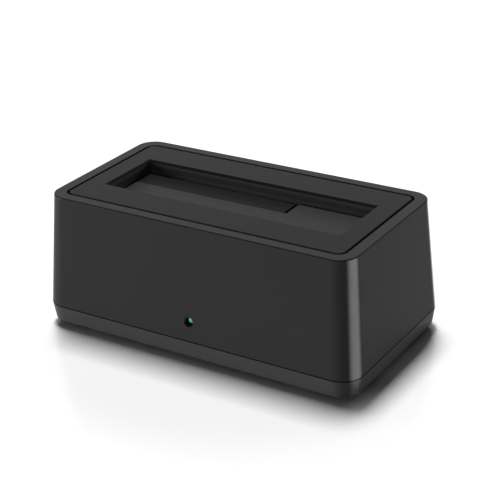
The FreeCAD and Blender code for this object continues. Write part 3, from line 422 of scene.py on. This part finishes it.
# A plastic's numbers are its colour, roughness, and its grain's size and height; a metal's are
# its colour and roughness
finishes = {
    "shell_plastic": moulded("shell_plastic_moulded", 0.0250, 0.34, 0.42 * MM, 0.0030 * MM,
                             edge_radius=0.26 * MM, painted_edge_light=0.1, painted_rounding_shade=0.22,
                             painted_corner_highlight=0.040),
    # The base is a paler copy of the shell's plastic: painted light, for the light from below that
    # the lamps don't give it
    "base_plastic": moulded("base_plastic_moulded", 0.0440, 0.40, 0.42 * MM, 0.0030 * MM,
                            edge_radius=0.26 * MM, painted_edge_light=0.1, painted_corner_highlight=0.040),
    "plate_plastic": moulded("plate_plastic_moulded", 0.0145, 0.40, 0.36 * MM, 0.0030 * MM,
                             painted_edge_light=1.15, painted_rounding_shade=0.2, painted_upright_light=2.4,
                             gap_shade_from=0.25, gap_shade_full=0.45),
    # Paler than the shell's plastic: painted light on the bay's walls, which little lamp light
    # reaches
    "well_plastic": moulded("well_plastic_moulded", 0.0380, 0.34, 0.50 * MM, 0.0020 * MM,
                            gap_shade_from=0.30, gap_shade_full=0.50),
    "door_plastic": moulded("door_plastic_moulded", 0.0330, *DOOR_GRAIN, **DOOR_MARKS),
    "connector_plastic": moulded("connector_plastic_moulded",
                                 0.012, 0.42, 0.25 * MM, 0.0020 * MM),
    "jack_plastic": moulded("jack_plastic_moulded", 0.012, 0.38, 0.25 * MM, 0.0015 * MM),
    "switch_plastic": moulded("switch_plastic_moulded", 0.014, 0.28, 0.30 * MM, 0.0008 * MM),
    "chip_resin": moulded("chip_resin_moulded", 0.022, 0.58, 0.20 * MM, 0.0030 * MM),
    "socket_core": blue_core("socket_core_moulded"),
    "pin_steel": metal("pin_steel_ground", (0.56, 0.56, 0.57), 0.30, DRAWN_X),
    "spring_steel": metal("spring_steel_drawn", (0.42, 0.42, 0.43), 0.34, DRAWN_X),
    "gilt_contact": metal("gilt_contact_plated", (0.86, 0.62, 0.27), 0.24, DRAWN_Z),
    "socket_metal": metal("socket_metal_plated", (0.62, 0.61, 0.59), 0.30, DRAWN_Y),
    "tinned_metal": metal("tinned_metal_dipped", (0.60, 0.60, 0.59), 0.36, DRAWN_Z),
    "can_metal": metal("can_metal_drawn", (0.74, 0.74, 0.75), 0.26, DRAWN_Z),
    "screw_steel": metal("screw_steel_blackened", (0.16, 0.16, 0.165), 0.38, DRAWN_Z),
    "board_laminate": laminate("board_laminate_masked"),
    "led_resin": lit_resin("led_resin_lit", (led_low + led_high) / 2),
    "coil_ferrite": sintered("coil_ferrite_pressed"),
    "foot_rubber": rubber("foot_rubber_blasted"),
}
narrow_door_finish = moulded("narrow_door_plastic_moulded", 0.0120, *DOOR_GRAIN, **DOOR_MARKS)

slot_of_node = {row["node"]: row["material_slot"] for row in frame["record"]["subparts"]}
for node_name, node in nodes.items():
    for material_slot in node.material_slots:
        material_slot.material = finishes[slot_of_node[node_name]]
nodes["narrow_door"].material_slots[0].material = narrow_door_finish


# Surfaces

# Points nearer to each other than this are one point
SAME_POINT = 1e-7


def grid_faces(rows, columns):
    """Four point numbers for each face of a grid whose columns close round on themselves."""
    row, column = np.meshgrid(np.arange(rows - 1), np.arange(columns), indexing="ij")
    beside = (column + 1) % columns
    corners = [row * columns + column, row * columns + beside,
               (row + 1) * columns + beside, (row + 1) * columns + column]
    return np.stack(corners, axis=-1).reshape(-1, 4)


def add_piece(name, grids, slot, body, smooth=True):
    """One mesh out of grids of points, each rows by columns by 3. A row whose points are all
    the same one becomes a pole. The slot is a finish's name, or a material."""
    points = []
    faces = []
    first = 0
    for grid in grids:
        rows, columns = grid.shape[:2]
        faces.append(grid_faces(rows, columns) + first)
        points.append(grid.reshape(-1, 3))
        first += rows * columns
    mesh = bpy.data.meshes.new(name)
    mesh.from_pydata(np.concatenate(points), [], np.concatenate(faces))
    work = bmesh.new()
    work.from_mesh(mesh)
    bmesh.ops.remove_doubles(work, verts=work.verts, dist=SAME_POINT)
    bmesh.ops.recalc_face_normals(work, faces=work.faces)
    work.to_mesh(mesh)
    work.free()
    mesh.polygons.foreach_set("use_smooth", [smooth] * len(mesh.polygons))
    piece = bpy.data.objects.new(name, mesh)
    bpy.context.scene.collection.objects.link(piece)
    mesh.materials.append(slot if isinstance(slot, bpy.types.Material) else finishes[slot])
    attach(piece, body)
    return piece


def tube(path, radius, sides=12, dome_rings=4):
    """Round wire: about each point of the path a circle, side x cos(angle) + up x sin(angle),
    with side square to the path and to X, and up square to both the path and side. Each end
    closes over a dome that goes on by sin(turn) radii as its circles shrink by cos(turn)."""
    turn = np.linspace(0, math.pi / 2, dome_rings + 1)[1:]
    first = (path[0] - path[1]) / np.linalg.norm(path[0] - path[1])
    last = (path[-1] - path[-2]) / np.linalg.norm(path[-1] - path[-2])
    before = (path[0] + np.outer(np.sin(turn), first) * radius)[::-1]
    after = path[-1] + np.outer(np.sin(turn), last) * radius
    line = np.concatenate([before, path, after])
    shrink = np.cos(turn)
    radii = np.concatenate([shrink[::-1], np.ones(len(path)), shrink]) * radius
    radii[[0, -1]] = 0.0
    along = np.gradient(line, axis=0)
    side = np.cross(along, (1.0, 0.0, 0.0))
    side /= np.linalg.norm(side, axis=1, keepdims=True)
    up = np.cross(along, side)
    up /= np.linalg.norm(up, axis=1, keepdims=True)
    angle = np.linspace(0, TAU, sides, endpoint=False)
    ring = (side[:, None] * np.cos(angle)[None, :, None]
            + up[:, None] * np.sin(angle)[None, :, None])
    return line[:, None] + ring * radii[:, None, None]


def lathe(centre, profile, sides=24):
    """A profile of (radius, height) turned round an upright axis through centre: x and y are
    the centre's plus radius x cos(angle) and radius x sin(angle), and z is the height."""
    angle = np.linspace(0, TAU, sides, endpoint=False)
    x = centre[0] + profile[:, :1] * np.cos(angle)
    y = centre[1] + profile[:, :1] * np.sin(angle)
    z = np.broadcast_to(profile[:, 1:], x.shape)
    return np.stack([x, y, z], axis=-1)


# Door springs

WIRE_RADIUS = 0.3 * MM
PIN_TO_COIL = 0.1 * MM
TURN_PITCH = 2.04 * WIRE_RADIUS
TURN_POINTS = 28
LEG_LENGTH = 3.2 * MM
LEG_POINTS = 8

# The drawn wire is a hair thinner, so that its turns stay apart
DRAWN_WIRE_RADIUS = WIRE_RADIUS * 0.98


def wound_spring(name, pin, node, end_turn):
    """Torsion spring. Along the coil x grows evenly with the angle, and y and z are the pin's
    plus radius x cos(angle) and radius x sin(angle). The coil ends end turn past its last
    whole turn, and at each end a leg goes on along its tangent."""
    low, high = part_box(node)
    pin_low, pin_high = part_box(pin)
    axis = (np.array(pin_low) + np.array(pin_high)) / 2
    radius = (pin_high.z - pin_low.z) / 2 + PIN_TO_COIL + WIRE_RADIUS
    x_start = low.x + WIRE_RADIUS
    x_end = high.x - WIRE_RADIUS
    turns = math.floor((x_end - x_start) / TURN_PITCH)
    angle = np.linspace(0.0, end_turn + turns * TAU, TURN_POINTS * turns)
    coil = np.stack([x_start + (x_end - x_start) * angle / angle[-1],
                     axis[1] + radius * np.cos(angle),
                     axis[2] + radius * np.sin(angle)], axis=-1)
    steps = np.linspace(LEG_LENGTH, 0, LEG_POINTS, endpoint=False)
    into = np.array([0.0, 0.0, 1.0])
    out_of = np.array([0.0, -math.sin(end_turn), math.cos(end_turn)])
    first = coil[0] - np.outer(steps, into)
    last = (coil[-1] + np.outer(steps, out_of))[::-1]
    path = np.concatenate([first, coil, last])
    piece = add_piece(name, [tube(path, DRAWN_WIRE_RADIUS)], "spring_steel", "root")
    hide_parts(node)


wound_spring("wide_door_coil_spring", "wide_door_pin", "wide_door_spring", 1.5 * math.pi)
wound_spring("narrow_door_coil_spring", "narrow_door_pin", "narrow_door_spring", 0.5 * math.pi)


# Solder joints at the board's through pins

SOLDERED_NODES = ("usb_socket_shell", "dc_jack_terminals", "power_switch_terminals",
                  "led_leads")
SHORTEST_TIP = 0.5 * MM
SOLDER_SPREAD = 0.45 * MM
SOLDER_HEIGHT = 0.6 * MM


def solder_joints():
    """A small cone of solder round each through pin, under the board. Its radius is the pin's
    plus the spread x (1 - share)^2, at a share from 0 to 1 of its height down."""
    board_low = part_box("main_board")[0].z
    share = np.linspace(0, 1, 7)
    grids = []
    for carrier in SOLDERED_NODES:
        mesh = nodes[carrier].data
        points = np.zeros(len(mesh.vertices) * 3)
        mesh.vertices.foreach_get("co", points)
        points = points.reshape(-1, 3)
        tips = points[points[:, 2] < board_low - SHORTEST_TIP]
        middle = tips[:, 0].mean()
        for tip in (tips[tips[:, 0] < middle], tips[tips[:, 0] > middle]):
            centre = (tip.min(axis=0) + tip.max(axis=0)) / 2
            pin_radius = (tip[:, 0].max() - tip[:, 0].min()) / 2
            cone = np.stack([pin_radius + SOLDER_SPREAD * (1 - share) ** 2,
                             board_low - share * SOLDER_HEIGHT], axis=-1)
            top = [(0.0, board_low)]
            foot = [(0.0, board_low - SOLDER_HEIGHT)]
            grids.append(lathe(centre, np.concatenate([top, cone, foot])))
    add_piece("solder_joints", grids, "tinned_metal", "root")


solder_joints()


# Marks on the rocker

MARK_FROM_MIDDLE = 3.1 * MM
MARK_FILM = 0.03 * MM
RING_RADIUS = 1.15 * MM
RING_HOLE = 0.70
BAR_HALF_WIDTH = 0.22 * MM
BAR_HALF_HEIGHT = 1.2 * MM

# A bar is drawn as a ring too, with a hole too small to see
BAR_HOLE = 0.02


def face_at(node, x, z):
    """Point and outward normal of a node's face met by a line that comes in along -Y, from
    a little outside its box."""
    origin = Vector((x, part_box(node)[1].y + 5 * MM, z))
    return nodes[node].ray_cast(origin, Vector((0, -1, 0)))[1:3]


def flat_mark(name, middle, normal, outer, hole, finish):
    """Ink film between an outline of (along, up) points and the same one shrunk to its hole:
    each point is the middle plus its parts along and up the face, and the film lifts it by
    its thickness along the normal."""
    up = Vector((0, 0, 1))
    along = up.cross(normal).normalized()
    inner = outer * hole
    rows = [np.outer(points[:, 0], along) + np.outer(points[:, 1], up)
            + np.array(middle) + np.array(normal) * lift
            for points, lift in ((inner, 0.0), (inner, MARK_FILM), (outer, MARK_FILM),
                                 (outer, 0.0), (inner, 0.0))]
    add_piece(name, [np.stack(rows)], finish, "rocker", smooth=False)


ink = painted("switch_marking_ink")
rocker_low, rocker_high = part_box("power_switch_rocker")
rocker_x = (rocker_low.x + rocker_high.x) / 2
rocker_z = (rocker_low.z + rocker_high.z) / 2
ring_angle = np.linspace(0, TAU, 40, endpoint=False)
ring = np.stack([np.cos(ring_angle), np.sin(ring_angle)], axis=-1) * RING_RADIUS
bar = np.array([(-1, -1), (1, -1), (1, 1), (-1, 1)]) * (BAR_HALF_WIDTH, BAR_HALF_HEIGHT)
for mark_name, side, outline, hole in (
        ("rocker_mark_on", MARK_FROM_MIDDLE, bar, BAR_HOLE),
        ("rocker_mark_off", -MARK_FROM_MIDDLE, ring, RING_HOLE)):
    spot, spot_normal = face_at("power_switch_rocker", rocker_x + side, rocker_z)
    flat_mark(mark_name, spot, spot_normal, outline, hole, ink)


# Floor and light

FLOOR_DROP = 0.02 * MM
FLOOR_CIRCLES = (0.3, 6.0, 12)
FLOOR_SIDES = 64
SKY_LEVEL = 0.035


def studio_floor():
    """Wide flat disc just under the object: circles round its middle, each larger than the
    one before by the same factor."""
    radius = np.concatenate([[0.0], np.geomspace(*FLOOR_CIRCLES)])
    profile = np.stack([radius, np.full(len(radius), -FLOOR_DROP)], axis=-1)
    grid = lathe((0.0, 0.0), profile, FLOOR_SIDES)
    mesh = bpy.data.meshes.new("studio_floor")
    mesh.from_pydata(grid.reshape(-1, 3), [], grid_faces(*grid.shape[:2])[:, ::-1])
    floor = bpy.data.objects.new("studio_floor", mesh)
    bpy.context.scene.collection.objects.link(floor)
    mesh.materials.append(paper_floor())


def softbox(name, place, aim, width, height, level, lit=None):
    """Rectangular lamp. Level is how bright it makes a white card at aim that faces it. It
    lights everything, or the lit collection alone. Straight down, its width is along X."""
    data = bpy.data.lights.new(name, "AREA")
    data.shape = "RECTANGLE"
    data.size = width
    data.size_y = height
    way = Vector(aim) - Vector(place)
    data.energy = level * math.pi ** 2 * way.length ** 2
    lamp = bpy.data.objects.new(name, data)
    bpy.context.scene.collection.objects.link(lamp)
    lamp.location = place
    lamp.rotation_euler = way.to_track_quat("-Z", "Y").to_euler()
    lamp.visible_camera = False
    if lit:
        lamp.light_linking.receiver_collection = lit


def even_sky(level):
    """The same pale light from every side, and plain white where it is seen or mirrored."""
    air = Finish("studio_air", bpy.data.worlds)
    strength = air.shown() * (1.0 - level) + level
    inputs = {"Color": grey(1.0), "Strength": strength}
    air.end(air.node("ShaderNodeBackground", 0, {}, inputs), "ShaderNodeOutputWorld")
    bpy.context.scene.world = air.material


studio_floor()
even_sky(SKY_LEVEL)

dock = bpy.data.collections.new("dock")
for item in bpy.context.scene.objects:
    if item.type == "MESH" and item.name != "studio_floor":
        dock.objects.link(item)

# Each lamp: where it stands, where it aims, its width, height and level. The first two light
# all. The others fill the dock's faces alone, and so leave the floor its shadow.
middle_of_box = (0.0, 0.0, 0.03)
softbox("overhead_softbox", (-0.51, 0.60, 2.8), (-0.51, 0.60, 0.0), 0.54, 0.92, 1.15)
softbox("left_softbox", (-2.0, -1.05, 0.05), middle_of_box, 0.5, 0.10, 0.75)
softbox("fill_softbox", (-2.3, -2.3, 0.7), middle_of_box, 1.2, 1.0, 0.62, dock)
softbox("front_softbox", (0.30, -0.90, 0.22), middle_of_box, 0.40, 0.16, 0.15, dock)
softbox("right_softbox", (1.7, 0.9, 0.28), middle_of_box, 0.4, 0.30, 0.38, dock)


# Camera, at the photograph's place

FOCAL_PIXELS = 1424.7
PICTURE_PIXELS = 500
SENSOR_MM = 36.0
AZIMUTH = math.radians(32.16)
ELEVATION = math.radians(24.84)
ROLL = math.radians(-1.73)

# From the frame's origin: back along the view, and then to the picture's right and up
CAMERA_BACK = 0.574
CAMERA_RIGHT = 0.00301
CAMERA_UP = 0.02897

backwards = Vector((math.sin(AZIMUTH) * math.cos(ELEVATION),
                    -math.cos(AZIMUTH) * math.cos(ELEVATION), math.sin(ELEVATION)))
level_right = Vector((math.cos(AZIMUTH), math.sin(AZIMUTH), 0.0))
level_up = backwards.cross(level_right)
right = level_right * math.cos(ROLL) + level_up * math.sin(ROLL)
up = level_up * math.cos(ROLL) - level_right * math.sin(ROLL)

camera_data = bpy.data.cameras.new("camera")
camera_data.sensor_width = SENSOR_MM
camera_data.lens = FOCAL_PIXELS * SENSOR_MM / PICTURE_PIXELS
camera_data.clip_start = 0.01
camera_data.clip_end = 50.0
camera = bpy.data.objects.new("camera", camera_data)
bpy.context.scene.collection.objects.link(camera)
camera.matrix_world = Matrix((right, up, backwards)).transposed().to_4x4()
camera.location = backwards * CAMERA_BACK + right * CAMERA_RIGHT + up * CAMERA_UP
bpy.context.scene.camera = camera
bpy.context.scene.view_settings.view_transform = "Standard"
